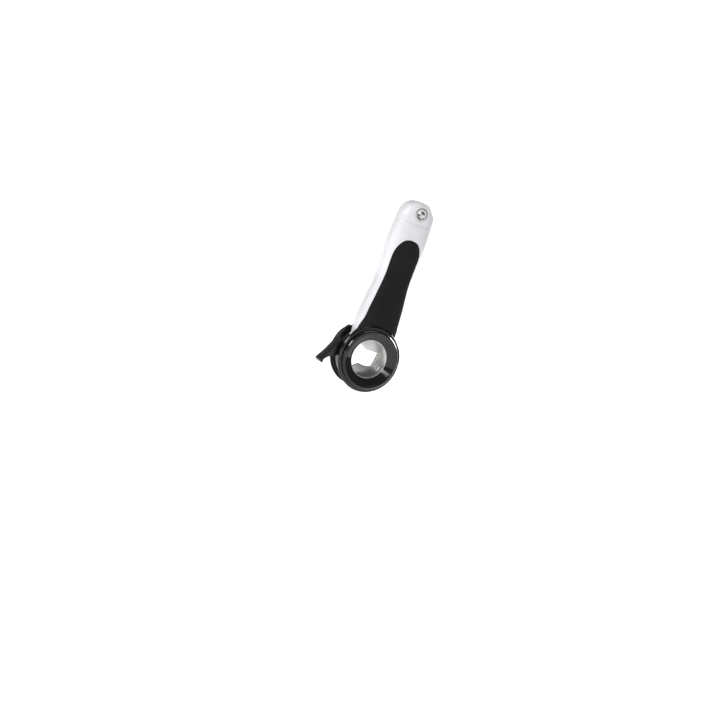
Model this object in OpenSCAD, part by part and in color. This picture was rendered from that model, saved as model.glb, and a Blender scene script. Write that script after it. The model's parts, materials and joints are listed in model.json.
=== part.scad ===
// Ring-pull can opener with a crown-cap lifter in its round head.
// Frame: millimetres, origin at the centre of the head's bore at mid-depth,
// +Z along the handle to its free end, -Y out of the bore's front mouth.

/* [Head] */
// Inner diameter of the cap lifter's wall
bore_d = 29.6; // [28:0.4:32]
// Depth of the head, front face to rear face
head_depth = 25; // [22:0.5:30]
// Outer diameter of the front ring
ring_d = 48; // [46:0.5:60]
// Outer diameter of the rear ring
rear_d = 50.4; // [47:0.4:60]
// Diameter of the front recess at its mouth
recess_d = 43; // [40:0.5:44]
// How far the front ring stands in front of the flange ring
ring_h = 2.8; // [2.2:0.2:4]
// Depth of the recess, front face to the lifter's rim
recess_h = 3.9; // [3.4:0.1:5]
// Thickness of the rear ring
rear_h = 4.5; // [4:0.25:6]
// How far the flange ring stands out past the other rings
flange_out = 2.7; // [1.5:0.3:3.6]
// Thickness of the flange ring
flange_h = 2; // [1.6:0.2:3]
// Outer diameter of the drum
drum_d = 46; // [45:0.2:50]
// Sheet thickness of the cap lifter
steel_t = 0.8; // [0.6:0.1:1.2]
// Depth of the lifter's toothed web behind the head's middle
web_y = 1; // [0:0.5:4]
// Thickness of the toothed web
web_t = 1.6; // [1.2:0.2:2.4]
// Half height of the slot between the lifter's teeth
slot_half = 5.9; // [5:0.2:7]

/* [Handle] */
// Distance from the bore's centre to the handle's free end
handle_l = 130; // [110:1:160]
// Half width of the handle at its neck
neck_half = 18; // [15:0.5:20]
// Half width of the handle at its waist
waist_half = 14.5; // [12:0.5:17]
// Half width of the handle at the palm swell
palm_half = 16; // [13:0.5:19]
// Thickness of the handle on its middle line
grip_t = 19; // [16:0.5:24]
// Wall thickness of the shells
shell_wall = 2.4; // [2:0.2:3.2]
// Depth of the pocket that an inlay lies in
inlay_t = 1.2; // [0.8:0.1:1.6]
// How far the inlays stand proud of the shells
inlay_proud = 0.3; // [0.1:0.1:0.8]
// Width of the steel spine
spine_w = 14; // [10:0.5:16]
// Thickness of the steel spine
spine_t = 3; // [2:0.5:4]
// Length of the end cap
cap_l = 18; // [15:1:24]
// Inner diameter of the hanging eyelet
eyelet_d = 6.4; // [5:0.2:8]

/* [Lever] */
// Gap between the flange ring and the lever's front face
lever_back = 3.6; // [0.6:0.2:4]
// Thickness of the lever
lever_t = 10; // [9:0.5:11]
// Diameter of the lever's pin
pin_d = 2.4; // [2:0.1:2.6]
// How far the lever's pin stands out past the front ring, along -X
pivot_gap = 2.8; // [2.6:0.2:6]
// Height of the lever's pin above the bore's centre
pivot_up = -1.5; // [-3:0.5:1]
// Reach of the beak past the pin
beak_reach = 11.2; // [10:0.2:18]
// Drop of the beak's point below the pin
beak_drop = 10.6; // [9:0.2:16]
// Gap between the ring and the outside of the fin's root
fin_gap = 4.6; // [4:0.2:8]
// Thickness of the fin at its tip
fin_t = 1.4; // [1:0.1:2.5]
// Wire diameter of the lever's spring
wire_d = 0.6; // [0.4:0.1:0.8]

/* [Fasteners] */
// Shank diameter of the screws
screw_d = 2; // [1.6:0.1:2.5]
// Head diameter of the screws
screw_head_d = 3.8; // [3.2:0.1:4.4]
// Diameter of the circle that the head's screws stand on
head_screw_pcd = 38.6; // [38:0.2:39]

/* [Hidden] */
$fn = 64;

fit_gap = 0.1;     // fixed pieces that seat in each other
run_gap = 0.05;    // radial clearance of the lever on its pin
seam = 0.1;        // between the two shells

bore_r = bore_d / 2;
ring_r = ring_d / 2;
rear_r = rear_d / 2;
drum_r = drum_d / 2;
recess_r = recess_d / 2;
flange_r = ring_r + flange_out;
sleeve_r = bore_r + steel_t;            // outside of the lifter's wall
drum_bore_r = sleeve_r + fit_gap;
rim_r = sleeve_r + 1.2;                 // lifter's front flange
mouth_r = bore_r + 0.3;                 // front ring's hole, just outside the lifter's wall
spigot_r = head_screw_pcd / 2 + screw_d / 2 + 0.7;  // front ring's spigot, inside the flange ring

y_front = -head_depth / 2;
y_rear = head_depth / 2;
y_ring_back = y_front + ring_h;         // front ring to flange ring
y_flange_back = y_ring_back + flange_h; // flange ring to drum
y_drum_back = y_rear - rear_h;          // drum to rear ring
y_rim = y_front + recess_h;             // front of the lifter's rim

groove_w = 0.8;
groove_r = ring_r - 1.6;

// Handle
half_t = grip_t / 2;
crown_r = 45;                           // crown of the handle's front and back
z_cap = handle_l - cap_l;               // shells end, end cap begins
z_eyelet = handle_l - 9.5;
spine_start = drum_r + 2;
spine_end = z_cap - 10;
block_half = spine_w / 2 + 2.5;         // drum's neck block, half width
block_top = drum_r + 12;
block_t = spine_t + 5;
rivet_r = 1.2;
rivet_x = spine_w / 4;
rivet_z = drum_r + 7.5;
boss_z = [drum_r + 24, drum_r + 48, z_cap - 16];
boss_r = screw_d / 2 + 1.5;
spine_hole_r = boss_r + 0.4;
inlay_end = z_cap - 13;
inlay_gap = 0.15;

// Lever
head_r = max(ring_r, drum_r + 1);       // what the lever stands clear of
pivot_out = head_r + pivot_gap;
pivot = [-pivot_out, pivot_up];
pin_r = pin_d / 2;
hub_r = pin_r + 2.8;
y_lever = y_flange_back + lever_back;   // front face of the lever
y_lever_back = y_lever + lever_t;
tongue_r = pin_r + 1.5;
tongue_t = 2.7;
cheek_t = 2.4;                          // lever's front cheek
y_slot = y_lever + cheek_t;             // slot between the cheeks
y_tongue = y_slot + 0.2;
slot_w = lever_t - cheek_t - 2.1;
slot_r = tongue_r + 0.25;
pin_skin = 1;                           // left in front of the pin's blind end
coil_turns = 2.5;
coil_r = pin_r + 0.3 + wire_d / 2;
coil_pitch = wire_d * 1.1;
coil_steps = 14;
fin_r = head_r + fin_gap;               // outside of the fin's root, about the bore's centre
beak_point = pivot + [-beak_reach, -beak_drop];
pad_t = 0.7;

// ---- Helpers ----

// A body turned about the head's axis from [radius, y] points
module turned(profile) rotate([-90, 0, 0]) rotate_extrude($fn = 96) polygon(profile);

// A cylinder along Y from y0 to y1, at x and z
module rod(r, y0, y1, x = 0, z = 0) translate([x, y0, z]) rotate([-90, 0, 0]) cylinder(r = r, h = y1 - y0);

// A flat outline in X and Z, made solid from y0 to y1
module slab(y0, y1) translate([0, y1, 0]) rotate([90, 0, 0]) linear_extrude(y1 - y0) children();

// Points along one span of a curve that passes through b and c
function span(a, b, c, d, n) = [for (i = [0 : n - 1]) let (t = i / n)
    0.5 * (2 * b + (c - a) * t + (2 * a - 5 * b + 4 * c - d) * t * t + (3 * b - a - 3 * c + d) * t * t * t)];

// A smooth curve through every point of a list
function smooth(p, n = 6) = let (last = len(p) - 1) concat([for (i = [0 : last - 1])
    each span(p[max(i - 1, 0)], p[i], p[i + 1], p[min(i + 2, last)], n)], [p[last]]);

function mirrored(p) = [for (i = [len(p) - 1 : -1 : 0]) [-p[i].x, p[i].y]];

// ---- Handle shapes ----

// Right-hand edge of the handle, from the head to the free end
function handle_edge() = smooth([[neck_half + 1.3, 11], [neck_half - 0.2, drum_r - 4], [neck_half + 0.2, drum_r + 3],
    [neck_half, drum_r + 9], [neck_half - 0.9, drum_r + 20], [waist_half, drum_r + 42],
    [palm_half, z_cap - 18], [palm_half - 0.8, z_cap], [palm_half - 4, handle_l - 5],
    [palm_half - 9.5, handle_l - 0.8], [0, handle_l]]);

module handle_outline(inset = 0) {
    edge = [for (p = handle_edge()) [max(p.x - inset, 0), p.y - (p.y > z_cap ? inset : 0)]];
    polygon(concat(edge, mirrored(edge)));
}

// Right-hand edge of an inlay
function inlay_edge() = smooth([[neck_half + 0.7, 14.5], [neck_half - 1, drum_r - 3], [neck_half - 1.5, drum_r + 2],
    [neck_half - 2.8, drum_r + 8], [neck_half - 3.8, drum_r + 18], [waist_half - 3, drum_r + 42], [palm_half - 4.5, inlay_end - 14],
    [palm_half - 9, inlay_end - 3], [0, inlay_end]]);

module inlay_outline(grow = 0) {
    edge = [for (p = inlay_edge()) [p.x + (p.x > 0 ? grow : 0), p.y + (p.x > 0 ? 0 : grow)]];
    polygon(concat(edge, mirrored(edge)));
}

// The space between the handle's two crowned faces, moved in by inset
module crowned_space(inset = 0) intersection_for (side = [-1, 1])
    translate([0, side * (crown_r - half_t + inset), -1]) cylinder(r = crown_r, h = handle_l + 3, $fn = 96);

// Everything at the head that the handle's pieces keep clear of
module head_envelope() {
    rod(flange_r + fit_gap, y_front - 1, y_flange_back + fit_gap);
    rod(drum_r + fit_gap, y_flange_back, y_drum_back);
    rod(rear_r + fit_gap, y_drum_back - fit_gap, y_rear + 1);
}

// Solid handle between the head and the end cap
module handle_body() difference() {
    intersection() {
        slab(-half_t, half_t) handle_outline();
        crowned_space();
        translate([-40, -20, 0]) cube([80, 40, z_cap]);
    }
    head_envelope();
}

module shell_cavity() intersection() {
    slab(-half_t, half_t) handle_outline(shell_wall);
    crowned_space(shell_wall + inlay_t);
    translate([-40, -20, block_top - 12 - fit_gap]) cube([80, 40, z_cap]);
}

module inlay_pocket(side) intersection() {
    slab(-half_t - 1, half_t + 1) inlay_outline(inlay_gap);
    difference() {
        translate([-40, side < 0 ? -20 : 0, -5]) cube([80, 20, handle_l]);
        crowned_space(inlay_t);
    }
}

// One half of the handle's casing; side is -1 for the front
module shell_half(side) difference() {
    union() {
        difference() {
            intersection() {
                handle_body();
                translate([-40, side < 0 ? -20 : seam / 2, 0]) cube([80, 20 - seam / 2, handle_l]);
            }
            shell_cavity();
        }
        for (z = boss_z)
            intersection() {
                rod(boss_r, side < 0 ? -half_t : seam / 2, side < 0 ? -seam / 2 : half_t, 0, z);
                crowned_space(shell_wall);
            }
    }
    inlay_pocket(side);
    // Room for the drum's neck block
    translate([-block_half - fit_gap, -block_t / 2 - fit_gap, 0])
        cube([2 * (block_half + fit_gap), block_t + 2 * fit_gap, block_top + fit_gap]);
    shell_screw_holes(side);
}

// Where the shell screws go: bored in the front half, stepped through in the rear half
module shell_screw_holes(side) for (z = boss_z) {
    rod(screw_d / 2, -half_t + inlay_t + 1.2, half_t, 0, z);
    if (side > 0)
        rod(screw_head_d / 2 + fit_gap, half_t - inlay_t - 2.2, half_t + 1, 0, z);
}

// ---- Head ----

module front_ring() color("black") difference() {
    turned([[mouth_r, y_rim], [recess_r - 0.9, y_front + 1], [recess_r - 0.3, y_front + 0.4],
        [recess_r + 0.6, y_front], [ring_r - 1.5, y_front], [ring_r - 0.7, y_front + 0.25],
        [ring_r - 0.15, y_front + 0.9], [ring_r, y_front + 1.5], [ring_r, y_ring_back - groove_w],
        [groove_r, y_ring_back - groove_w], [groove_r, y_ring_back], [spigot_r, y_ring_back],
        [spigot_r, y_flange_back], [rim_r + fit_gap, y_flange_back], [rim_r + fit_gap, y_rim],
        [mouth_r, y_rim]]);
    head_screw_shafts(screw_d / 2);
}

module flange_ring() color("black") turned([[spigot_r + fit_gap, y_flange_back], [spigot_r + fit_gap, y_ring_back],
    [flange_r - 0.8, y_ring_back], [flange_r - 0.15, y_ring_back + 0.35], [flange_r, y_ring_back + 0.8],
    [flange_r, y_flange_back]]);

// The drum's ear that the lever turns on
module tongue() difference() {
    slab(y_tongue, y_tongue + tongue_t) union() {
        translate(pivot) circle(tongue_r);
        polygon([pivot + [0, tongue_r], pivot + [0, -tongue_r], [-drum_r + 2, pivot_up - tongue_r - 0.4],
            [-drum_r + 2, pivot_up + tongue_r + 0.4]]);
    }
    rod(drum_r - 1.5, y_front, y_rear);
}

module head_drum() color("black") difference() {
    union() {
        turned([[drum_bore_r, y_flange_back], [drum_r, y_flange_back], [drum_r, y_drum_back],
            [drum_bore_r, y_drum_back]]);
        difference() {
            translate([-block_half, -block_t / 2, 0]) cube([2 * block_half, block_t, block_top]);
            rod(drum_r - 1, -20, 20);
        }
        tongue();
    }
    rod(pin_r + run_gap, y_tongue - 1, y_tongue + tongue_t + 1, pivot.x, pivot.y);
    // Socket for the spine and the holes of its rivets
    translate([-spine_w / 2, -spine_t / 2, spine_start]) cube([spine_w, spine_t, block_top]);
    rivet_shafts();
    head_screw_shafts(screw_d / 2 + 0.2);
}

module rear_ring() color("black") difference() {
    turned([[drum_bore_r, y_drum_back], [drum_bore_r, y_drum_back + 1.5], [drum_bore_r + 1.8, y_rear],
        [rear_r - 1.6, y_rear], [rear_r - 0.8, y_rear - 0.3], [rear_r - 0.2, y_rear - 1.1],
        [rear_r, y_rear - 2], [rear_r, y_drum_back + groove_w], [rear_r - 1.6, y_drum_back + groove_w],
        [rear_r - 1.6, y_drum_back]]);
    head_screw_shafts(screw_d / 2 + 0.2);
    head_screw_at() rod(screw_head_d / 2 + fit_gap, y_rear - 1.8, y_rear + 1);
}

module head_screw_at() for (a = [45 : 90 : 315]) rotate([0, a, 0]) translate([head_screw_pcd / 2, 0, 0]) children();

// The screws bite into the front ring as far as its cone leaves them a skin
y_screw_tip = y_front + recess_h - 0.7;

module head_screw_shafts(r) head_screw_at() rod(r, y_screw_tip - fit_gap, y_rear);

module head_screws() color("silver") head_screw_at() cross_screw(y_rear - 0.1, y_screw_tip);

// A screw along Y whose head ends at y_head and whose tip is at y_tip
module cross_screw(y_head, y_tip) difference() {
    union() {
        rod(screw_head_d / 2, y_head - 1.6, y_head);
        rod(screw_d / 2, y_tip, y_head - 1.5);
    }
    for (turn = [0, 90]) translate([0, y_head, 0]) rotate([0, turn, 0]) translate([-1.2, -0.8, -0.25]) cube([2.4, 1, 0.5]);
}

module cap_lifter() color("lightgray") {
    turned([[bore_r, y_rim], [rim_r, y_rim], [rim_r, y_rim + steel_t],
        [sleeve_r, y_rim + steel_t], [sleeve_r, y_drum_back + 1.5], [bore_r, y_drum_back + 1.5]]);
    difference() {
        rod(sleeve_r - 0.2, web_y, web_y + web_t);
        slab(web_y - 1, web_y + web_t + 1) web_opening();
    }
}

// The slot between the lifter's teeth, wider on the side where a cap tips in
module web_opening() intersection() {
    circle(bore_r - 1.2);
    polygon([[11.2, slot_half - 0.2], [-0.4, slot_half - 0.1], [-5.1, slot_half + 2.9], [-9.5, bore_r],
        [-bore_r, bore_r], [-bore_r, -bore_r], [-11, -bore_r], [-7.4, -slot_half - 4], [-2.1, -slot_half - 0.2],
        [1.4, -slot_half - 0.8], [4.6, -slot_half - 1], [9.2, -slot_half + 0.1]]);
}

// ---- Handle ----

module handle_spine() color("silver") difference() {
    translate([-spine_w / 2, -spine_t / 2, spine_start + fit_gap]) cube([spine_w, spine_t, spine_end - spine_start]);
    rivet_shafts();
    for (z = boss_z) rod(spine_hole_r, -spine_t, spine_t, 0, z);
}

module rivet_shafts() for (side = [-1, 1]) rod(rivet_r, -block_t, block_t, side * rivet_x, rivet_z);

module spine_rivets() color("silver") for (side = [-1, 1]) {
    rod(rivet_r, -block_t / 2, block_t / 2, side * rivet_x, rivet_z);
}

module front_shell() color("white") shell_half(-1);

module rear_shell() color("white") shell_half(1);

module inlay(side) color("#222222") difference() {
    intersection() {
        slab(-half_t - 1, half_t + 1) inlay_outline();
        crowned_space(-inlay_proud);
        translate([-40, side < 0 ? -20 : 0, side < 0 ? drum_r - 6 : 0]) cube([80, 20, handle_l]);
    }
    crowned_space(inlay_t - 0.05);
    head_envelope();
}

module front_inlay() inlay(-1);

module rear_inlay() inlay(1);

module shell_screws() color("silver") for (z = boss_z)
    translate([0, 0, z]) cross_screw(half_t - inlay_t - 0.5, -half_t + inlay_t + 1.4);

module end_cap() color("white") difference() {
    union() {
        intersection() {
            slab(-half_t, half_t) handle_outline();
            crowned_space();
            translate([-40, -20, z_cap + fit_gap]) cube([80, 40, cap_l + 1]);
        }
        intersection() {
            slab(-half_t, half_t) handle_outline(shell_wall + fit_gap);
            crowned_space(shell_wall + inlay_t + fit_gap);
            translate([-40, -20, z_cap - 5]) cube([80, 40, 8]);
        }
    }
    rod(eyelet_d / 2 + 1, -half_t - 1, half_t + 1, 0, z_eyelet);
    for (side = [-1, 1]) rod(eyelet_d / 2 + 2.4, side < 0 ? -half_t - 1 : half_t - 1.2, side < 0 ? 1.2 - half_t : half_t + 1,
        0, z_eyelet);
}

module hang_eyelet() color("silver") difference() {
    union() {
        rod(eyelet_d / 2 + 1 - fit_gap / 2, -half_t + 0.5, half_t - 0.5, 0, z_eyelet);
        rod(eyelet_d / 2 + 2.3, -half_t + 0.4, -half_t + 1.2, 0, z_eyelet);
        rod(eyelet_d / 2 + 2.3, half_t - 1.2, half_t - 0.4, 0, z_eyelet);
    }
    rod(eyelet_d / 2, -half_t, half_t, 0, z_eyelet);
}

// ---- Lever ----

module lever_pin() color("silver")
    rod(pin_r, y_lever + pin_skin, y_lever_back - 0.1, pivot.x, pivot.y);

function polar(r, a) = [r * cos(a), r * sin(a)];

// Outside of the fin, from its tip down to its root
fin_outside = [polar(fin_r + 1.5, 136), polar(fin_r + 1.2, 144), polar(fin_r + 0.9, 152), polar(fin_r + 0.5, 162),
    polar(fin_r + 0.5, 172)];
fin_inside = [polar(fin_r - 4.2, 170), polar(fin_r - 2.8, 163), polar(fin_r - 1.7, 156), polar(fin_r - 0.8, 148),
    polar(fin_r + 1.5 - fin_t, 137)];

// The lever's side view: fin above, hub in the middle, hooked beak below
module lever_outline() difference() {
    union() {
        translate(pivot) circle(hub_r);
        polygon(concat(smooth(fin_outside),
            smooth([pivot + [-3.4, 2.6], pivot + [-6.6, -3.2], beak_point + [1.6, 2.8], beak_point]),
            [beak_point + [0.7, -1.1], beak_point + [2, -1.9], beak_point + [2.6, -1.6]],
            smooth([beak_point + [2.7, -0.2], beak_point + [3.2, 1.6], pivot + [-4.6, -6], pivot + [0.6, -3.8],
                pivot + [hub_r - 1.2, -1.6]]),
            smooth(fin_inside)));
    }
    circle(drum_r + 0.7);
}

// Seen along X, the lever steps back from its front layer at the fin's foot and narrows to a blunt point at the
// fin's tip; inset moves its sides in
fin_foot = pivot_up + 8;
fin_top = fin_outside[0].y + 0.6;
y_mid = (y_lever + y_lever_back) / 2;

module lever_width(inset = 0) {
    half = lever_t / 2 - inset;
    tip = max(0.7 - inset / 2, 0.2);
    rise = fin_top - fin_foot;
    back = smooth([[half, fin_foot], [half * 0.94, fin_foot + rise * 0.3], [half * 0.74, fin_foot + rise * 0.55],
        [half * 0.42, fin_foot + rise * 0.8], [tip, fin_top]], 4);
    front = smooth([[-tip, fin_top], [-half * 0.24, fin_foot + rise * 0.8], [-half * 0.38, fin_foot + rise * 0.5],
        [-half * 0.46, fin_foot + rise * 0.25], [-half * 0.78, fin_foot + rise * 0.09], [-half, fin_foot]], 4);
    translate([-60, 0, 0]) rotate([90, 0, 90]) linear_extrude(60) translate([y_mid, 0])
        polygon(concat([[half, -40]], back, front, [[-half, -40]]));
}

module hook_lever() color("#222222") difference() {
    intersection() {
        slab(y_lever, y_lever_back) lever_outline();
        lever_width();
    }
    rod(pin_r, y_lever + pin_skin, y_lever_back + 1, pivot.x, pivot.y);
    // Slot that the tongue and the spring lie in
    rod(slot_r, y_slot, y_slot + slot_w, pivot.x, pivot.y);
    translate([pivot.x + 0.4, y_slot, pivot.y - 8]) cube([8, slot_w, 16]);
    // Notch that the spring's moving end rests in
    translate([pivot.x - slot_r - 0.3, y_slot, pivot.y + coil_r - wire_d - 0.5])
        cube([slot_r, slot_w, 2 * wire_d + 0.7]);
    pad_recess();
}

// A band on the outside of the fin, which the pad and its recess share
module pad_band(depth, proud, inset) intersection() {
    lever_width(inset);
    slab(y_lever, y_lever_back) pad_side(depth, proud);
}

module pad_side(depth, proud) polygon(concat([for (a = [142 : 3 : 163]) polar(pad_line(a) + proud, a)],
        [for (a = [163 : -3 : 142]) polar(pad_line(a) - depth, a)]));

// Radius of the fin's outside at an angle, between its drawn points
function pad_line(a) = fin_r + 1.55 - 1.05 * (a - 136) / 26;

module pad_recess() pad_band(pad_t, 2, 1.2);

module thumb_pad() color("#3a3a36") difference() {
    pad_band(pad_t, 0.3, 1.25);
    for (a = [144 : 3 : 160]) rotate([0, -a, 0]) translate([pad_line(a) - 0.1, -10, -0.35]) cube([2, 20, 0.7]);
}

// ---- Spring ----

y_coil = y_tongue + tongue_t + wire_d / 2 + 0.1;
coil_start = -90;
function coil_point(a) = [pivot.x + coil_r * cos(a), y_coil + coil_pitch * (a - coil_start) / 360,
    pivot.y + coil_r * sin(a)];

// The fixed leg stops at the drum, the moving leg stops in the lever's notch
fixed_leg = pivot_out - sqrt(drum_r * drum_r - pow(pivot_up - coil_r, 2)) - 0.25;
spring_path = concat([coil_point(coil_start) + [fixed_leg, 0, 0]],
    [for (i = [0 : coil_steps * coil_turns]) coil_point(coil_start - i * 360 / coil_steps) +
        [0, 2 * coil_pitch * i / coil_steps, 0]],
    [coil_point(coil_start - 360 * coil_turns) + [-slot_r - 0.1, 2 * coil_pitch * coil_turns, 0]]);

// A round wire along a path that lies nearly flat in X and Z
module wire(path, r, sides = 8) {
    n = len(path);
    rings = [for (i = [0 : n - 1])
        let (raw = path[min(i + 1, n - 1)] - path[max(i - 1, 0)], along = raw / norm(raw),
            out = cross(along, [0, 1, 0]), u = out / norm(out), v = cross(u, along))
        for (k = [0 : sides - 1]) path[i] + r * (cos(360 * k / sides) * u + sin(360 * k / sides) * v)];
    polyhedron(rings, concat(
        [[for (k = [0 : sides - 1]) k]],
        [for (i = [0 : n - 2], k = [0 : sides - 1]) let (a = i * sides + k, b = i * sides + (k + 1) % sides)
            each [[a, a + sides, b], [b, a + sides, b + sides]]],
        [[for (k = [sides - 1 : -1 : 0]) (n - 1) * sides + k]]));
}

module lever_spring() color("silver") wire(spring_path, wire_d / 2);

front_ring();
flange_ring();
head_drum();
rear_ring();
cap_lifter();
head_screws();
handle_spine();
spine_rivets();
front_shell();
rear_shell();
front_inlay();
rear_inlay();
shell_screws();
end_cap();
hang_eyelet();
lever_spring();
lever_pin();
hook_lever();
thumb_pad();
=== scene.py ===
"""Looks of the ring-pull can opener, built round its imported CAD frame.

Lengths are metres, and MM turns millimetres into them. X runs across the handle, Z up it, and -Y is the front.
"""
import json
import math

import bmesh
import bpy
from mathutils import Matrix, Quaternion, Vector


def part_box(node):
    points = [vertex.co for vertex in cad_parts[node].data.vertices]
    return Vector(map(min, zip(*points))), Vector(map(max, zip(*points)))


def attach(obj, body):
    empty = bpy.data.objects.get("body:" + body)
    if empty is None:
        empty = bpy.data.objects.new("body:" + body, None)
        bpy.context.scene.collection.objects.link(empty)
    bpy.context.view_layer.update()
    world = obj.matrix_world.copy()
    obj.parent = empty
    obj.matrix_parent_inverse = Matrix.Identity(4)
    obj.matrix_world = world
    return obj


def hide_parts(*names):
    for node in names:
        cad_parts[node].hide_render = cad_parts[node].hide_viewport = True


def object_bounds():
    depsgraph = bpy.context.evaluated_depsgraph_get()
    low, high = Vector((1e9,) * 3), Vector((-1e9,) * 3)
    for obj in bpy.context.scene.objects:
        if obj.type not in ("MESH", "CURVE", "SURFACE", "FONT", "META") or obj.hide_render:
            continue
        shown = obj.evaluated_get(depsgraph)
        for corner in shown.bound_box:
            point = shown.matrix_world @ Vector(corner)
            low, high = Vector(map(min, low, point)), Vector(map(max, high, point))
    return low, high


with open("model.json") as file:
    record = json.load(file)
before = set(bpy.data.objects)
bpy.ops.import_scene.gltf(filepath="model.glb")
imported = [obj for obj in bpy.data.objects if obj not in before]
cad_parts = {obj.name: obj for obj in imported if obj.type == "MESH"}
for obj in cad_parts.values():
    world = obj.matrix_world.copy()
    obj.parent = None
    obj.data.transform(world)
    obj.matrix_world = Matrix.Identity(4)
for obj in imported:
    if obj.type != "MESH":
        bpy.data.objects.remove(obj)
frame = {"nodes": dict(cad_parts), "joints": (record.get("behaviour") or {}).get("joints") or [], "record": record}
CAD_BOX = [list(corner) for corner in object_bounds()]

MM = 0.001

# ---- Sizes, worked out from the frame ----

ring_lo, ring_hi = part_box("front_ring")
flange_lo, flange_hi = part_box("flange_ring")
drum_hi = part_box("head_drum")[1]
rear_lo, rear_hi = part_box("rear_ring")
shell_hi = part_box("front_shell")[1]
cap_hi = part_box("end_cap")[1]
inlay_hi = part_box("front_inlay")[1]
eye_lo, eye_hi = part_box("hang_eyelet")
lever_lo, lever_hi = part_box("hook_lever")
lifter_lo, lifter_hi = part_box("cap_lifter")
joint = frame["joints"][0]

RING_R = ring_hi[0]
REAR_R = rear_hi[0]
FLANGE_R = flange_hi[2]
DRUM_R = drum_hi[0]
Y_FRONT = ring_lo[1]
Y_RING_BACK = flange_lo[1]
Y_FLANGE_BACK = flange_hi[1]
Y_DRUM_BACK = rear_lo[1]
Y_REAR = rear_hi[1]
Y_RIM = lifter_lo[1]
STEEL_T = 0.8 * MM
BORE_R = frame["record"]["mounts"][0]["dims"]["r_mm"] * MM
SLEEVE_R = BORE_R + STEEL_T
RIM_R = lifter_hi[0]
MOUTH_R = BORE_R + 0.3 * MM            # front ring's hole
RECESS_R = 21.5 * MM                   # front ring's cone, where it opens
SCREW_AT = 19.3 * MM                   # head screws, from the bore's axis
SCREW_SEAT_R = 2.0 * MM
SCREW_SEAT_DEPTH = 1.8 * MM
SPIGOT_R = SCREW_AT + 1.7 * MM         # what the flange ring sits on
GROOVE_W = 0.8 * MM
GROOVE_IN = 1.6 * MM
REAR_LIP = 1.5 * MM                    # straight part of the rear ring's hole
HALF_T = cap_hi[1]
Z_CAP = shell_hi[2]
Z_END = cap_hi[2]
NECK = 18 * MM                         # half widths of the handle, from the head upwards
WAIST = 14.5 * MM
PALM = 16 * MM
Z_SHELL = 11 * MM                      # where the shells begin
Z_INLAY = inlay_hi[2]
Z_EYE = (eye_lo[2] + eye_hi[2]) / 2
HINGE = Vector((joint["pos_m"][0], joint["pos_m"][2]))
GAP = 0.12 * MM                        # between pieces that seat in each other
SEAM = 0.06 * MM                       # half of a seam
NEAR_AXIS = 0.01 * MM                  # a turned outline's closest point to its axis


# ---- Mesh helpers ----

def add_object(name, verts, faces):
    mesh = bpy.data.meshes.new(name)
    mesh.from_pydata([tuple(v) for v in verts], [], faces)
    obj = bpy.data.objects.new(name, mesh)
    bpy.context.scene.collection.objects.link(obj)
    bm = bmesh.new()
    bm.from_mesh(mesh)
    bmesh.ops.remove_doubles(bm, verts=bm.verts, dist=1e-7)
    bmesh.ops.recalc_face_normals(bm, faces=bm.faces)
    bm.to_mesh(mesh)
    bm.free()
    return obj


def bake(obj):
    """Puts the result of an object's modifiers into its mesh."""
    bpy.context.view_layer.update()
    mesh = bpy.data.meshes.new_from_object(obj.evaluated_get(bpy.context.evaluated_depsgraph_get()))
    obj.modifiers.clear()
    obj.data = mesh


def combine(obj, tool, operation):
    """Joins, cuts or intersects obj with tool, and deletes tool."""
    mod = obj.modifiers.new("cut", "BOOLEAN")
    mod.object = tool
    mod.operation = operation
    mod.solver = "EXACT"
    bake(obj)
    bpy.data.objects.remove(tool)
    return obj


def round_edges(obj, width, segments=3, angle=35):
    mod = obj.modifiers.new("edges", "BEVEL")
    mod.width = width
    mod.segments = segments
    mod.limit_method = "ANGLE"
    mod.angle_limit = math.radians(angle)
    bake(obj)
    return obj


def smooth_shade(obj, angle=40):
    obj.data.shade_smooth()
    obj.data.set_sharp_from_angle(angle=math.radians(angle))
    return obj


def fillet(points, radius, steps=5):
    """A closed outline with each corner rounded by radius, less where its sides are short."""
    out = []
    count = len(points)
    for i in range(count):
        a, b, c = (Vector(points[(i + k) % count]) for k in (-1, 0, 1))
        reach = min(radius, (a - b).length * 0.45, (c - b).length * 0.45)
        start = b + (a - b).normalized() * reach
        end = b + (c - b).normalized() * reach
        for k in range(steps + 1):
            t = k / steps
            out.append(start * (1 - t) ** 2 + b * 2 * t * (1 - t) + end * t ** 2)
    return out


def spun(name, profile, turns=192):
    """A body turned about the head's axis from a closed [radius, y] outline."""
    n = len(profile)
    verts = []
    for k in range(turns):
        a = 2 * math.pi * k / turns
        verts += [(r * math.cos(a), y, r * math.sin(a)) for r, y in profile]
    faces = []
    for k in range(turns):
        for i in range(n):
            j = (i + 1) % n
            m = (k + 1) % turns
            faces.append((k * n + i, k * n + j, m * n + j, m * n + i))
    return add_object(name, verts, faces)


def prism(name, outline, y0, y1):
    """A flat outline in X and Z, made solid from y0 to y1."""
    n = len(outline)
    verts = [(p[0], y0, p[1]) for p in outline] + [(p[0], y1, p[1]) for p in outline]
    faces = [tuple(range(n)), tuple(range(2 * n - 1, n - 1, -1))]
    faces += [(i, (i + 1) % n, n + (i + 1) % n, n + i) for i in range(n)]
    return add_object(name, verts, faces)


def side_prism(name, outline, x0, x1):
    """A flat outline in Y and Z, made solid from x0 to x1."""
    n = len(outline)
    verts = [(x0, p[0], p[1]) for p in outline] + [(x1, p[0], p[1]) for p in outline]
    faces = [tuple(range(n)), tuple(range(2 * n - 1, n - 1, -1))]
    faces += [(i, (i + 1) % n, n + (i + 1) % n, n + i) for i in range(n)]
    return add_object(name, verts, faces)


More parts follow.
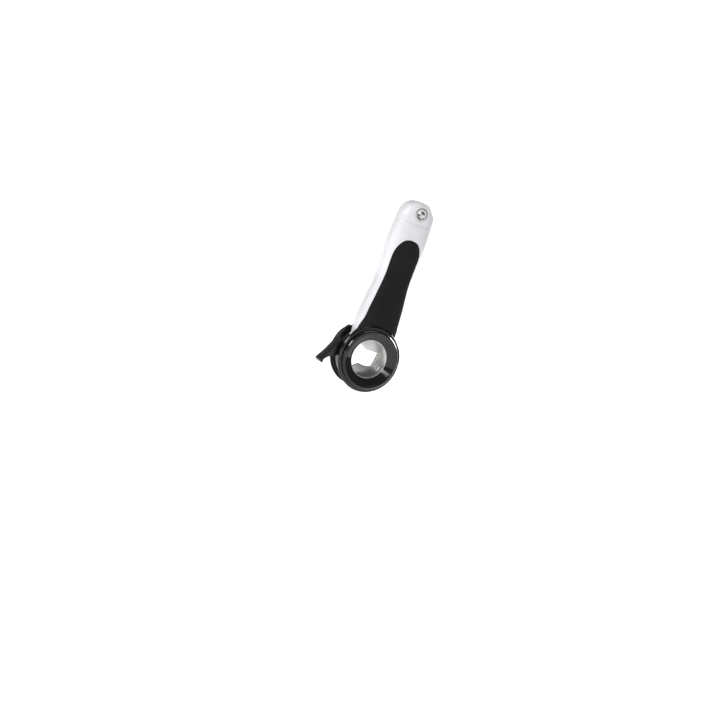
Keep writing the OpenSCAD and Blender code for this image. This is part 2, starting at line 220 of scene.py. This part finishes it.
def smooth_line(points, steps=8):
    """Points of a smooth curve that passes through every given point."""
    p = [Vector(q) for q in points]
    out = []
    for i in range(len(p) - 1):
        a, b, c, d = p[max(i - 1, 0)], p[i], p[i + 1], p[min(i + 2, len(p) - 1)]
        for k in range(steps):
            t = k / steps
            out.append(0.5 * (2 * b + (c - a) * t + (2 * a - 5 * b + 4 * c - d) * t * t
                              + (3 * b - a - 3 * c + d) * t ** 3))
    return out + [p[-1]]


# ---- Handle shape ----

EDGE = smooth_line([(NECK + 1.3 * MM, Z_SHELL), (NECK - 0.2 * MM, DRUM_R - 4 * MM),
                    (NECK + 0.2 * MM, DRUM_R + 3 * MM), (NECK, DRUM_R + 9 * MM),
                    (NECK - 0.9 * MM, DRUM_R + 20 * MM), (WAIST, DRUM_R + 42 * MM),
                    (PALM, Z_CAP - 18 * MM), (PALM - 0.8 * MM, Z_CAP)], 10)


def handle_half(z):
    """Half width of the handle at height z."""
    for a, b in zip(EDGE, EDGE[1:]):
        if a[1] <= z <= b[1]:
            t = (z - a[1]) / (b[1] - a[1])
            return a[0] * (1 - t) + b[0] * t
    if z < EDGE[0][1]:
        return EDGE[0][0]
    t = min((z - Z_CAP) / (Z_END - Z_CAP), 1)
    return EDGE[-1][0] * max(1 - t ** 2.6, 0.0) ** (1 / 2.3)


def handle_depth(z):
    """Half thickness of the handle at height z: full until just before the rounded end."""
    start = Z_END - 5.5 * MM
    if z < start:
        return HALF_T
    t = min((z - start) / (Z_END - start), 1)
    return HALF_T * (0.42 + 0.58 * math.sqrt(max(1 - t * t, 0)))


ROUNDNESS = 2.9                        # power of the section's curve: 2 is an ellipse, more is squarer


def half_ring(z, side, grow, flat):
    """One half of the handle's section: side -1 is the front, flat is where its parting face lies."""
    w = max(handle_half(z) + grow, 0.3 * MM)
    d = handle_depth(z) + grow
    ease = 0.3 * MM
    nudge = 0.05 * MM
    points = []
    steps = 40
    for k in range(steps + 1):
        a = math.pi * k / steps
        c, s = math.cos(a), math.sin(a)
        x = w * math.copysign(abs(c) ** (2 / ROUNDNESS), c)
        y = flat + (d - flat) * abs(s) ** (2 / ROUNDNESS)
        points.append((x, side * y, z))
    # The parting edge is eased, so that a fine seam shows between the halves
    first, last = points[0], points[-1]
    points[0] = (first[0] - ease, side * flat, z)
    points[-1] = (last[0] + ease, side * flat, z)
    points.insert(1, (first[0] - nudge, side * (flat + ease), z))
    points.insert(-1, (last[0] + nudge, side * (flat + ease), z))
    return points


def loft(name, rings):
    n = len(rings[0])
    verts = [p for ring in rings for p in ring]
    faces = [tuple(range(n)), tuple(range(len(verts) - 1, len(verts) - n - 1, -1))]
    for r in range(len(rings) - 1):
        for i in range(n):
            j = (i + 1) % n
            faces.append((r * n + i, r * n + j, (r + 1) * n + j, (r + 1) * n + i))
    return add_object(name, verts, faces)


def spread(z0, z1, count):
    return [z0 + (z1 - z0) * k / count for k in range(count + 1)]


def full_ring(z, grow):
    front = half_ring(z, -1, grow, 0)
    back = half_ring(z, 1, grow, 0)
    return front[2:-2] + back[2:-2][::-1]


def handle_core(name, grow, z0, z1, count=60):
    return loft(name, [full_ring(z, grow) for z in spread(z0, z1, count)])


def head_envelope():
    """Everything at the head that the handle's pieces keep clear of."""
    far = 30 * MM
    return spun("envelope", [(NEAR_AXIS, -far), (FLANGE_R + GAP, -far), (FLANGE_R + GAP, Y_FLANGE_BACK + GAP),
                             (DRUM_R + GAP, Y_FLANGE_BACK + GAP), (DRUM_R + GAP, Y_DRUM_BACK - GAP),
                             (REAR_R + GAP, Y_DRUM_BACK - GAP), (REAR_R + GAP, far), (NEAR_AXIS, far)], 160)


# Right-hand edge of an inlay, from the head up to the middle of its top. One more point mirrors the one before
# the middle, so that the edge is level there, and the span that leads to it is dropped.
INLAY_STEPS = 8
INLAY_EDGE = smooth_line([(NECK + 0.7 * MM, 14.5 * MM), (NECK - 1.0 * MM, DRUM_R - 3 * MM),
                          (NECK - 1.5 * MM, DRUM_R + 2 * MM), (NECK - 2.8 * MM, DRUM_R + 8 * MM),
                          (NECK - 3.8 * MM, DRUM_R + 18 * MM),
                          (WAIST - 3 * MM, DRUM_R + 42 * MM), (PALM - 4.5 * MM, Z_INLAY - 14 * MM),
                          (PALM - 6.6 * MM, Z_INLAY - 6 * MM), (PALM - 10.4 * MM, Z_INLAY - 1.4 * MM),
                          (0, Z_INLAY), (10.4 * MM - PALM, Z_INLAY - 1.4 * MM)], INLAY_STEPS)[:-INLAY_STEPS]


def inlay_prism(name, side, grow):
    right = [(x + (grow if x > 0 else 0), z + (0 if x > 0 else grow)) for x, z in INLAY_EDGE]
    left = [(-x, z) for x, z in reversed(right[:-1])]
    y_near = 1.5 * MM
    y_far = HALF_T + 3 * MM
    return prism(name, right + left, *((-y_far, -y_near) if side < 0 else (y_near, y_far)))


POCKET = 1.2 * MM                      # how deep an inlay sits in its shell
PROUD = 0.3 * MM                       # how far it stands out of it


def build_shell(name, side):
    shell = loft(name, [half_ring(z, side, 0, 0.05 * MM) for z in spread(Z_SHELL, Z_CAP - SEAM, 64)])
    combine(shell, head_envelope(), "DIFFERENCE")
    pocket = inlay_prism("pocket", side, 0.18 * MM)
    combine(pocket, handle_core("floor", -POCKET, Z_SHELL - 6 * MM, Z_CAP), "DIFFERENCE")
    combine(shell, pocket, "DIFFERENCE")
    round_edges(shell, 0.22 * MM, 2, 50)
    return smooth_shade(shell)


def build_inlay(name, side):
    inlay = inlay_prism(name, side, 0)
    combine(inlay, handle_core("skin", PROUD, 8 * MM, Z_CAP), "INTERSECT")
    combine(inlay, handle_core("floor", -POCKET + 0.05 * MM, 6 * MM, Z_CAP), "DIFFERENCE")
    combine(inlay, head_envelope(), "DIFFERENCE")
    round_edges(inlay, 0.28 * MM, 3, 50)
    return smooth_shade(inlay)


def build_end_cap(name):
    cap = handle_core(name, 0, Z_CAP + SEAM, Z_END - 0.02 * MM, 40)
    r_hole = eye_hi[0] - 1.35 * MM
    r_seat = eye_hi[0] + 0.1 * MM
    y_seat, y_seat_back = eye_lo[1] + 0.85 * MM, eye_hi[1] - 0.85 * MM
    far = 20 * MM
    hole = spun("hole", [(NEAR_AXIS, -far), (r_seat, -far), (r_seat, y_seat), (r_hole, y_seat),
                         (r_hole, y_seat_back), (r_seat, y_seat_back), (r_seat, far), (NEAR_AXIS, far)], 96)
    for v in hole.data.vertices:
        v.co.z += Z_EYE
    combine(cap, hole, "DIFFERENCE")
    round_edges(cap, 0.25 * MM, 2, 45)
    return smooth_shade(cap)


# ---- Head ----

def build_front_ring(name):
    """Coned mouth in front, and a spigot behind that the flange ring sits on."""
    outline = [(RIM_R + GAP, Y_FLANGE_BACK), (RIM_R + GAP, Y_RIM), (MOUTH_R, Y_RIM),
               (RECESS_R - 0.9 * MM, Y_FRONT + 1.0 * MM), (RECESS_R + 0.2 * MM, Y_FRONT),
               (RING_R - 1.0 * MM, Y_FRONT), (RING_R, Y_FRONT + 1.3 * MM), (RING_R, Y_RING_BACK - GROOVE_W),
               (RING_R - GROOVE_IN, Y_RING_BACK - GROOVE_W), (RING_R - GROOVE_IN, Y_RING_BACK),
               (SPIGOT_R, Y_RING_BACK), (SPIGOT_R, Y_FLANGE_BACK)]
    return smooth_shade(spun(name, fillet(outline, 0.6 * MM, 6)), 60)


def build_flange(name):
    inner = SPIGOT_R + GAP
    outline = [(inner, Y_FLANGE_BACK), (inner, Y_RING_BACK), (FLANGE_R - 0.9 * MM, Y_RING_BACK),
               (FLANGE_R, Y_RING_BACK + 0.8 * MM), (FLANGE_R, Y_FLANGE_BACK)]
    return smooth_shade(spun(name, fillet(outline, 0.4 * MM, 5)), 60)


def build_rear_ring(name):
    inner = SLEEVE_R + 0.1 * MM
    outline = [(inner, Y_DRUM_BACK), (inner, Y_DRUM_BACK + REAR_LIP), (inner + 1.8 * MM, Y_REAR),
               (REAR_R - 1.2 * MM, Y_REAR), (REAR_R, Y_REAR - 1.5 * MM), (REAR_R, Y_DRUM_BACK + GROOVE_W),
               (REAR_R - GROOVE_IN, Y_DRUM_BACK + GROOVE_W), (REAR_R - GROOVE_IN, Y_DRUM_BACK)]
    ring = spun(name, fillet(outline, 0.6 * MM, 6))
    for k in range(4):
        a = math.radians(45 + 90 * k)
        floor, mouth = Y_REAR - SCREW_SEAT_DEPTH, Y_REAR + 2 * MM
        seat = spun("seat", [(NEAR_AXIS, floor), (SCREW_SEAT_R, floor), (SCREW_SEAT_R, mouth),
                             (NEAR_AXIS, mouth)], 48)
        for v in seat.data.vertices:
            v.co.x += SCREW_AT * math.cos(a)
            v.co.z += SCREW_AT * math.sin(a)
        combine(ring, seat, "DIFFERENCE")
    return smooth_shade(ring, 50)


WEB_Y = 1.0 * MM                       # front face of the toothed web
WEB_T = 1.6 * MM
SLOT = 5.9 * MM                        # half height of the web's opening


def build_lifter(name):
    """Rolled steel ring whose wall carries a stamped web with two teeth."""
    y_end = Y_DRUM_BACK + REAR_LIP
    wall = [(BORE_R, Y_RIM + 0.1 * MM), (BORE_R + 0.3 * MM, Y_RIM), (RIM_R, Y_RIM), (RIM_R, Y_RIM + STEEL_T),
            (SLEEVE_R, Y_RIM + STEEL_T), (SLEEVE_R, y_end), (BORE_R, y_end),
            (BORE_R, WEB_Y + WEB_T + 0.6 * MM), (BORE_R, WEB_Y - 1.5 * MM),
            (BORE_R - 0.05 * MM, WEB_Y - 2.6 * MM)]
    ring = spun(name, fillet(wall, 0.25 * MM, 4))
    slot = fillet([(11.2 * MM, SLOT - 0.2 * MM), (-0.4 * MM, SLOT - 0.1 * MM), (-5.1 * MM, SLOT + 2.9 * MM),
                   (-9.0 * MM, BORE_R - 3.4 * MM), (-12.6 * MM, 6.0 * MM), (-13.9 * MM, 0),
                   (-12.4 * MM, -6.4 * MM), (-9.6 * MM, -BORE_R + 5.0 * MM), (-7.4 * MM, -SLOT - 4 * MM),
                   (-2.1 * MM, -SLOT - 0.2 * MM), (1.4 * MM, -SLOT - 0.8 * MM), (4.6 * MM, -SLOT - 1.0 * MM),
                   (9.2 * MM, -SLOT + 0.1 * MM)], 1.0 * MM, 5)
    web_r = SLEEVE_R - 0.2 * MM
    web = spun("web", [(NEAR_AXIS, WEB_Y), (web_r, WEB_Y), (web_r, WEB_Y + WEB_T),
                       (NEAR_AXIS, WEB_Y + WEB_T)])
    combine(web, prism("slot", slot, WEB_Y - 5 * MM, WEB_Y + 6 * MM), "DIFFERENCE")
    round_edges(web, 0.3 * MM, 3, 50)
    combine(ring, web, "UNION")
    return smooth_shade(ring, 45)


def build_eyelet(name):
    outer = eye_hi[0]
    tube = outer - 1.4 * MM
    bore = frame["record"]["mounts"][1]["dims"]["r_mm"] * MM
    lip = 0.8 * MM
    outline = [(bore, eye_lo[1]), (outer, eye_lo[1]), (outer, eye_lo[1] + lip), (tube, eye_lo[1] + lip),
               (tube, eye_hi[1] - lip), (outer, eye_hi[1] - lip), (outer, eye_hi[1]), (bore, eye_hi[1])]
    obj = spun(name, fillet(outline, 0.38 * MM, 5), 96)
    for v in obj.data.vertices:
        v.co.z += Z_EYE
    return smooth_shade(obj, 60)


# ---- Lever ----

def polar(radius, degrees):
    a = math.radians(degrees)
    return Vector((radius * math.cos(a), radius * math.sin(a)))


HEAD_R = max(RING_R, DRUM_R + 1.0 * MM)
FIN_GAP = 4.6 * MM                     # from the head to the circle that the fin is drawn about
FIN_R = HEAD_R + FIN_GAP
FIN_T = 1.4 * MM                       # at its tip
BEAK_REACH = 11.2 * MM
BEAK_DROP = 10.6 * MM
BEAK = HINGE - Vector((BEAK_REACH, BEAK_DROP))
PIN_R = 1.2 * MM
HUB_R = PIN_R + 1.75 * MM              # room in the lever's slot, round the pin
FRONT_CHEEK, REAR_CHEEK = 2.4 * MM, 2.1 * MM      # what stands either side of that slot
FIN_FOOT = HINGE.y + 8 * MM
FIN_TOP = polar(FIN_R + 1.5 * MM, 136).y + 0.6 * MM
PAD_FROM, PAD_TO = 142.0, 163.0        # degrees round the bore
PAD_T = 0.7 * MM
PAD_INSET = 1.2 * MM
RIB_STEP = 3.0                         # degrees from rib to rib
Y_LEVER, Y_LEVER_BACK = lever_lo[1], lever_hi[1]


def at(base, x, z):
    """A point x and z millimetres from a base point."""
    return base + Vector((x, z)) * MM


def lever_outline():
    """Down the outside of the fin, along the beak's back, round its barb and back to the fin's tip."""
    outside = [polar(FIN_R + 1.5 * MM, 136), polar(FIN_R + 1.2 * MM, 144), polar(FIN_R + 0.9 * MM, 152),
               polar(FIN_R + 0.5 * MM, 162), polar(FIN_R + 0.5 * MM, 172), at(HINGE, -3.4, 2.6),
               at(HINGE, -6.6, -3.2), at(BEAK, 1.6, 2.8), BEAK]
    barb = [at(BEAK, 0.7, -1.1), at(BEAK, 2, -1.9), at(BEAK, 2.6, -1.6)]
    underside = [at(BEAK, 2.7, -0.2), at(BEAK, 3.2, 1.6), at(HINGE, -4.6, -6), at(HINGE, 0.6, -3.8),
                 at(HINGE, 2.8, -1.6)]
    inside = [polar(FIN_R - 4.2 * MM, 170), polar(FIN_R - 2.8 * MM, 163), polar(FIN_R - 1.7 * MM, 156),
              polar(FIN_R - 0.8 * MM, 148), polar(FIN_R + 1.5 * MM - FIN_T, 137)]
    return smooth_line(outside, 7) + barb + smooth_line(underside, 5) + smooth_line(inside, 7)


def pad_line(degrees):
    """Radius of the fin's outside at an angle, between its drawn points."""
    return FIN_R + (1.55 - 1.05 * (degrees - 136) / 26) * MM


def pad_outline(depth, proud, ribs=0.0):
    """A band along the fin's outside, with a wavy top where ribs is above zero."""
    angles = spread(PAD_FROM, PAD_TO, 84)
    top = [polar(pad_line(a) + proud + ribs * math.sin((a - PAD_FROM) / RIB_STEP * 2 * math.pi), a)
           for a in angles]
    base = [polar(pad_line(a) - depth, a) for a in reversed(angles[::6])]
    return top + base


def lever_width(name, inset):
    """The lever seen along X, stepped back from its front layer at the fin's foot and narrowed to the tip.

    Each side is a list of distances from the middle, with the share of the fin's height that they stand at.
    """
    middle = (Y_LEVER + Y_LEVER_BACK) / 2
    half = (Y_LEVER_BACK - Y_LEVER) / 2 - inset
    tip = max(0.7 * MM - inset / 2, 0.2 * MM)
    rise = FIN_TOP - FIN_FOOT
    back = [(half, 0), (half * 0.94, 0.3), (half * 0.74, 0.55), (half * 0.42, 0.8), (tip, 1)]
    front = [(-tip, 1), (-half * 0.24, 0.8), (-half * 0.38, 0.5), (-half * 0.46, 0.25), (-half * 0.78, 0.09),
             (-half, 0)]
    sides = [smooth_line([(middle + y, FIN_FOOT + rise * t) for y, t in side], 5) for side in (back, front)]
    foot = [(middle - half, -40 * MM), (middle + half, -40 * MM)]
    return side_prism(name, sides[0] + sides[1] + foot, -60 * MM, 0)


def build_lever(name):
    lever = prism(name, lever_outline(), Y_LEVER, Y_LEVER_BACK)
    combine(lever, lever_width("width", 0), "INTERSECT")
    y_slot, y_slot_end = Y_LEVER + FRONT_CHEEK, Y_LEVER_BACK - REAR_CHEEK
    mouth = [at(HINGE, 0.4, -8), at(HINGE, 8.4, -8), at(HINGE, 8.4, 8), at(HINGE, 0.4, 8)]
    circle = [HINGE + HUB_R * Vector((math.cos(a), math.sin(a)))
              for a in (2 * math.pi * k / 48 for k in range(48))]
    round_edges(lever, 0.5 * MM, 3, 28)
    combine(lever, prism("mouth", mouth, y_slot, y_slot_end), "DIFFERENCE")
    combine(lever, prism("round", circle, y_slot, y_slot_end), "DIFFERENCE")
    recess = prism("recess", pad_outline(PAD_T, 2 * MM), Y_LEVER, Y_LEVER_BACK)
    combine(lever, combine(recess, lever_width("width", PAD_INSET), "INTERSECT"), "DIFFERENCE")
    return smooth_shade(lever, 35)


def build_pad(name):
    pad = prism(name, pad_outline(PAD_T - 0.02 * MM, 0.2 * MM, 0.16 * MM), Y_LEVER, Y_LEVER_BACK)
    combine(pad, lever_width("width", PAD_INSET + 0.05 * MM), "INTERSECT")
    round_edges(pad, 0.12 * MM, 2, 50)
    return smooth_shade(pad, 50)


# ---- Materials ----

def new_material(name, **sockets):
    mat = bpy.data.materials.new(name)
    mat.use_nodes = True
    shader = mat.node_tree.nodes["Principled BSDF"]
    for key, value in sockets.items():
        shader.inputs[key.replace("_", " ")].default_value = value
    return mat, mat.node_tree, shader


def noise(tree, scale, detail=4.0, roughness=0.5, stretch=None):
    """Noise over the object's own space; stretch squeezes it along X, Y or Z."""
    coords = tree.nodes.new("ShaderNodeTexCoord")
    node = tree.nodes.new("ShaderNodeTexNoise")
    node.inputs["Scale"].default_value = scale
    node.inputs["Detail"].default_value = detail
    node.inputs["Roughness"].default_value = roughness
    if stretch:
        mapping = tree.nodes.new("ShaderNodeMapping")
        mapping.inputs["Scale"].default_value = stretch
        tree.links.new(coords.outputs["Object"], mapping.inputs["Vector"])
        tree.links.new(mapping.outputs["Vector"], node.inputs["Vector"])
    else:
        tree.links.new(coords.outputs["Object"], node.inputs["Vector"])
    return node.outputs["Fac"]


def ranged(tree, value, low, high, start=0.3, end=0.7):
    node = tree.nodes.new("ShaderNodeMapRange")
    node.inputs["From Min"].default_value = start
    node.inputs["From Max"].default_value = end
    node.inputs["To Min"].default_value = low
    node.inputs["To Max"].default_value = high
    tree.links.new(value, node.inputs["Value"])
    return node.outputs["Result"]


def tinted(tree, value, dark, light, start=0.3, end=0.7):
    ramp = tree.nodes.new("ShaderNodeValToRGB")
    ramp.color_ramp.elements[0].position = start
    ramp.color_ramp.elements[1].position = end
    ramp.color_ramp.elements[0].color = (*dark, 1)
    ramp.color_ramp.elements[1].color = (*light, 1)
    tree.links.new(value, ramp.inputs["Fac"])
    return ramp.outputs["Color"]


def bumped(tree, shader, value, strength, distance):
    node = tree.nodes.new("ShaderNodeBump")
    node.inputs["Strength"].default_value = strength
    node.inputs["Distance"].default_value = distance
    tree.links.new(value, node.inputs["Height"])
    tree.links.new(node.outputs["Normal"], shader.inputs["Normal"])


def plastic(name, dark, light, rough, grain, depth, shine=0.5, coat=0.0, patch=60):
    """Moulded plastic: faint mottling in its colour, smudges in its gloss and a fine moulded grain."""
    mat, tree, shader = new_material(name, Specular_IOR_Level=shine, Coat_Weight=coat, Coat_Roughness=0.06)
    mottle = noise(tree, patch, 5)
    smudge = noise(tree, patch * 3.1, 6, 0.6)
    tree.links.new(tinted(tree, mottle, dark, light), shader.inputs["Base Color"])
    tree.links.new(ranged(tree, smudge, *rough), shader.inputs["Roughness"])
    bumped(tree, shader, noise(tree, grain, 3), 0.35, depth)
    return mat


def turned_steel(name, dark, light, rough):
    """Steel with fine turning marks round the head's axis."""
    mat, tree, shader = new_material(name, Metallic=1.0)
    coords = tree.nodes.new("ShaderNodeTexCoord")
    split = tree.nodes.new("ShaderNodeSeparateXYZ")
    tree.links.new(coords.outputs["Object"], split.inputs["Vector"])
    squares = []
    for axis in ("X", "Z"):
        square = tree.nodes.new("ShaderNodeMath")
        square.operation = "MULTIPLY"
        tree.links.new(split.outputs[axis], square.inputs[0])
        tree.links.new(split.outputs[axis], square.inputs[1])
        squares.append(square)
    total = tree.nodes.new("ShaderNodeMath")
    total.operation = "ADD"
    radius = tree.nodes.new("ShaderNodeMath")
    radius.operation = "SQRT"
    tree.links.new(squares[0].outputs[0], total.inputs[0])
    tree.links.new(squares[1].outputs[0], total.inputs[1])
    tree.links.new(total.outputs[0], radius.inputs[0])
    joined = tree.nodes.new("ShaderNodeCombineXYZ")
    tree.links.new(radius.outputs[0], joined.inputs["X"])
    tree.links.new(split.outputs["Y"], joined.inputs["Y"])
    marks = tree.nodes.new("ShaderNodeTexNoise")
    marks.inputs["Scale"].default_value = 5200
    marks.inputs["Detail"].default_value = 3
    tree.links.new(joined.outputs["Vector"], marks.inputs["Vector"])
    cloud = noise(tree, 130, 4)
    tree.links.new(tinted(tree, cloud, dark, light), shader.inputs["Base Color"])
    tree.links.new(ranged(tree, marks.outputs["Fac"], *rough), shader.inputs["Roughness"])
    bumped(tree, shader, marks.outputs["Fac"], 0.25, 0.00002)
    return mat


def brushed_steel(name, dark, light, rough, stretch):
    mat, tree, shader = new_material(name, Metallic=1.0)
    lines = noise(tree, 900, 3, 0.5, stretch)
    tree.links.new(tinted(tree, noise(tree, 90, 4), dark, light), shader.inputs["Base Color"])
    tree.links.new(ranged(tree, lines, *rough), shader.inputs["Roughness"])
    bumped(tree, shader, lines, 0.2, 0.00002)
    return mat


MATERIALS = {
    "white_plastic": plastic("white_plastic", (0.57, 0.57, 0.59), (0.62, 0.62, 0.64), (0.16, 0.27), 2600,
                             0.00001, coat=0.2),
    "satin_black": plastic("satin_black", (0.006, 0.006, 0.007), (0.010, 0.010, 0.011), (0.36, 0.48), 5200,
                           0.00003, shine=0.1),
    "gloss_black": plastic("gloss_black", (0.003, 0.003, 0.0035), (0.006, 0.006, 0.0065), (0.08, 0.14), 1500,
                           0.000006, shine=0.4),
    "lever_black": plastic("lever_black", (0.006, 0.006, 0.007), (0.010, 0.010, 0.011), (0.20, 0.30), 4200,
                           0.00002, shine=0.3),
    "pad_rubber": plastic("pad_rubber", (0.020, 0.022, 0.016), (0.034, 0.036, 0.028), (0.55, 0.75), 6000,
                          0.00004, shine=0.15),
    "lifter_steel": turned_steel("lifter_steel", (0.40, 0.40, 0.40), (0.50, 0.50, 0.49), (0.24, 0.38)),
    "eyelet_steel": brushed_steel("eyelet_steel", (0.62, 0.62, 0.62), (0.74, 0.74, 0.74), (0.12, 0.22),
                                  (1, 6, 1)),
    "fastener_steel": brushed_steel("fastener_steel", (0.42, 0.42, 0.42), (0.55, 0.55, 0.54), (0.25, 0.4),
                                    (1, 5, 1)),
}


def dress(obj, slot_name):
    obj.data.materials.clear()
    obj.data.materials.append(MATERIALS[slot_name])


SLOT_OF = {part["node"]: part["material_slot"] for part in frame["record"]["subparts"]}


def place(piece, node, body):
    """A detailed piece stands for one CAD node and rides on its body."""
    dress(piece, SLOT_OF[node])
    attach(piece, body)
    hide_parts(node)


place(build_front_ring("front_ring_body"), "front_ring", "handle")
place(build_flange("flange_ring_body"), "flange_ring", "handle")
place(build_rear_ring("rear_ring_body"), "rear_ring", "handle")
place(build_lifter("cap_lifter_body"), "cap_lifter", "handle")
place(build_shell("front_shell_body", -1), "front_shell", "handle")
place(build_shell("rear_shell_body", 1), "rear_shell", "handle")
place(build_inlay("front_inlay_body", -1), "front_inlay", "handle")
place(build_inlay("rear_inlay_body", 1), "rear_inlay", "handle")
place(build_end_cap("end_cap_body"), "end_cap", "handle")
place(build_eyelet("hang_eyelet_body"), "hang_eyelet", "handle")
place(build_lever("hook_lever_body"), "hook_lever", "lever")
place(build_pad("thumb_pad_body"), "thumb_pad", "lever")

for node in ("head_drum", "head_screws", "handle_spine", "spine_rivets", "shell_screws", "lever_spring",
             "lever_pin"):
    obj = frame["nodes"][node]
    for material_slot in obj.material_slots:
        material_slot.material = MATERIALS[SLOT_OF[node]]


# ---- Stage, light and camera ----

def build_stage():
    """A pale floor, and a plain backdrop that stands at its far edge."""
    z = CAD_BOX[0][2] - 0.1 * MM
    side, far, top, left = 4.0, 2.4, 0.85, -0.1
    floor = add_object("floor", [(-side, -side, z), (side, -side, z), (side, far, z), (-side, far, z)],
                       [(0, 1, 2, 3)])
    backdrop = add_object("backdrop", [(left, far, z - 1), (side, far, z - 1), (side, far, top),
                                       (left, far, top)], [(0, 1, 2, 3)])
    for obj, glow in ((floor, 0.72), (backdrop, 0.97)):
        mat, tree, shader = new_material(obj.name + "_paint", Roughness=0.95, Specular_IOR_Level=0.0,
                                         Emission_Strength=glow, Emission_Color=(1, 1, 1, 1))
        tree.links.new(tinted(tree, noise(tree, 4), (0.78, 0.78, 0.78), (0.80, 0.80, 0.80)),
                       shader.inputs["Base Color"])
        obj.data.materials.append(mat)


def soft_light(name, place_at, size, power):
    light = bpy.data.lights.new(name, "AREA")
    light.shape = "RECTANGLE"
    light.size, light.size_y = size
    light.energy = power
    obj = bpy.data.objects.new(name, light)
    bpy.context.scene.collection.objects.link(obj)
    obj.location = place_at
    obj.rotation_mode = "QUATERNION"
    obj.rotation_quaternion = (Vector((0, 0, 0.03)) - Vector(place_at)).to_track_quat("-Z", "Y")


def build_world():
    world = bpy.data.worlds.new("studio")
    world.use_nodes = True
    background = world.node_tree.nodes["Background"]
    background.inputs["Color"].default_value = (1, 1, 1, 1)
    background.inputs["Strength"].default_value = 0.22
    bpy.context.scene.world = world


VIEW_AZIMUTH = math.radians(-28)
VIEW_ELEVATION = math.radians(5)
LEAN = math.radians(20)       # how far the tool leans to the right in the picture
DISTANCE = 2.0
FRAME_WIDTH = 0.5688          # what the picture spans across the tool, left to right
AIM_RIGHT = 3.4 * MM          # the bore's centre stands this far right of the picture's middle
AIM_UP = 2.6 * MM


def build_camera():
    back = Vector((math.sin(VIEW_AZIMUTH) * math.cos(VIEW_ELEVATION),
                   -math.cos(VIEW_AZIMUTH) * math.cos(VIEW_ELEVATION), math.sin(VIEW_ELEVATION)))
    level = (-back).to_track_quat("-Z", "Y")
    right = level @ Vector((1, 0, 0))
    up = level @ Vector((0, 1, 0))
    leaned_right = right * math.cos(LEAN) + up * math.sin(LEAN)
    leaned_up = up * math.cos(LEAN) - right * math.sin(LEAN)
    data = bpy.data.cameras.new("camera")
    data.sensor_width = 36
    data.lens = data.sensor_width * DISTANCE / FRAME_WIDTH
    data.clip_start, data.clip_end = 0.05, 50
    cam = bpy.data.objects.new("camera", data)
    bpy.context.scene.collection.objects.link(cam)
    cam.location = back * DISTANCE - leaned_right * AIM_RIGHT - leaned_up * AIM_UP
    cam.rotation_mode = "QUATERNION"
    cam.rotation_quaternion = level @ Quaternion((0, 0, 1), LEAN)
    bpy.context.scene.camera = cam


build_stage()
build_world()
soft_light("key", (-1.6, -0.8, 0.8), (0.8, 0.6), 26)
soft_light("side", (1.65, 0.6, 0.8), (0.7, 0.7), 36)
soft_light("front", (-0.95, -1.75, 0.55), (0.3, 0.3), 3)
soft_light("top", (0.1, -0.2, 1.8), (1.2, 1.0), 6)
build_camera()
bpy.context.scene.view_settings.view_transform = "Standard"
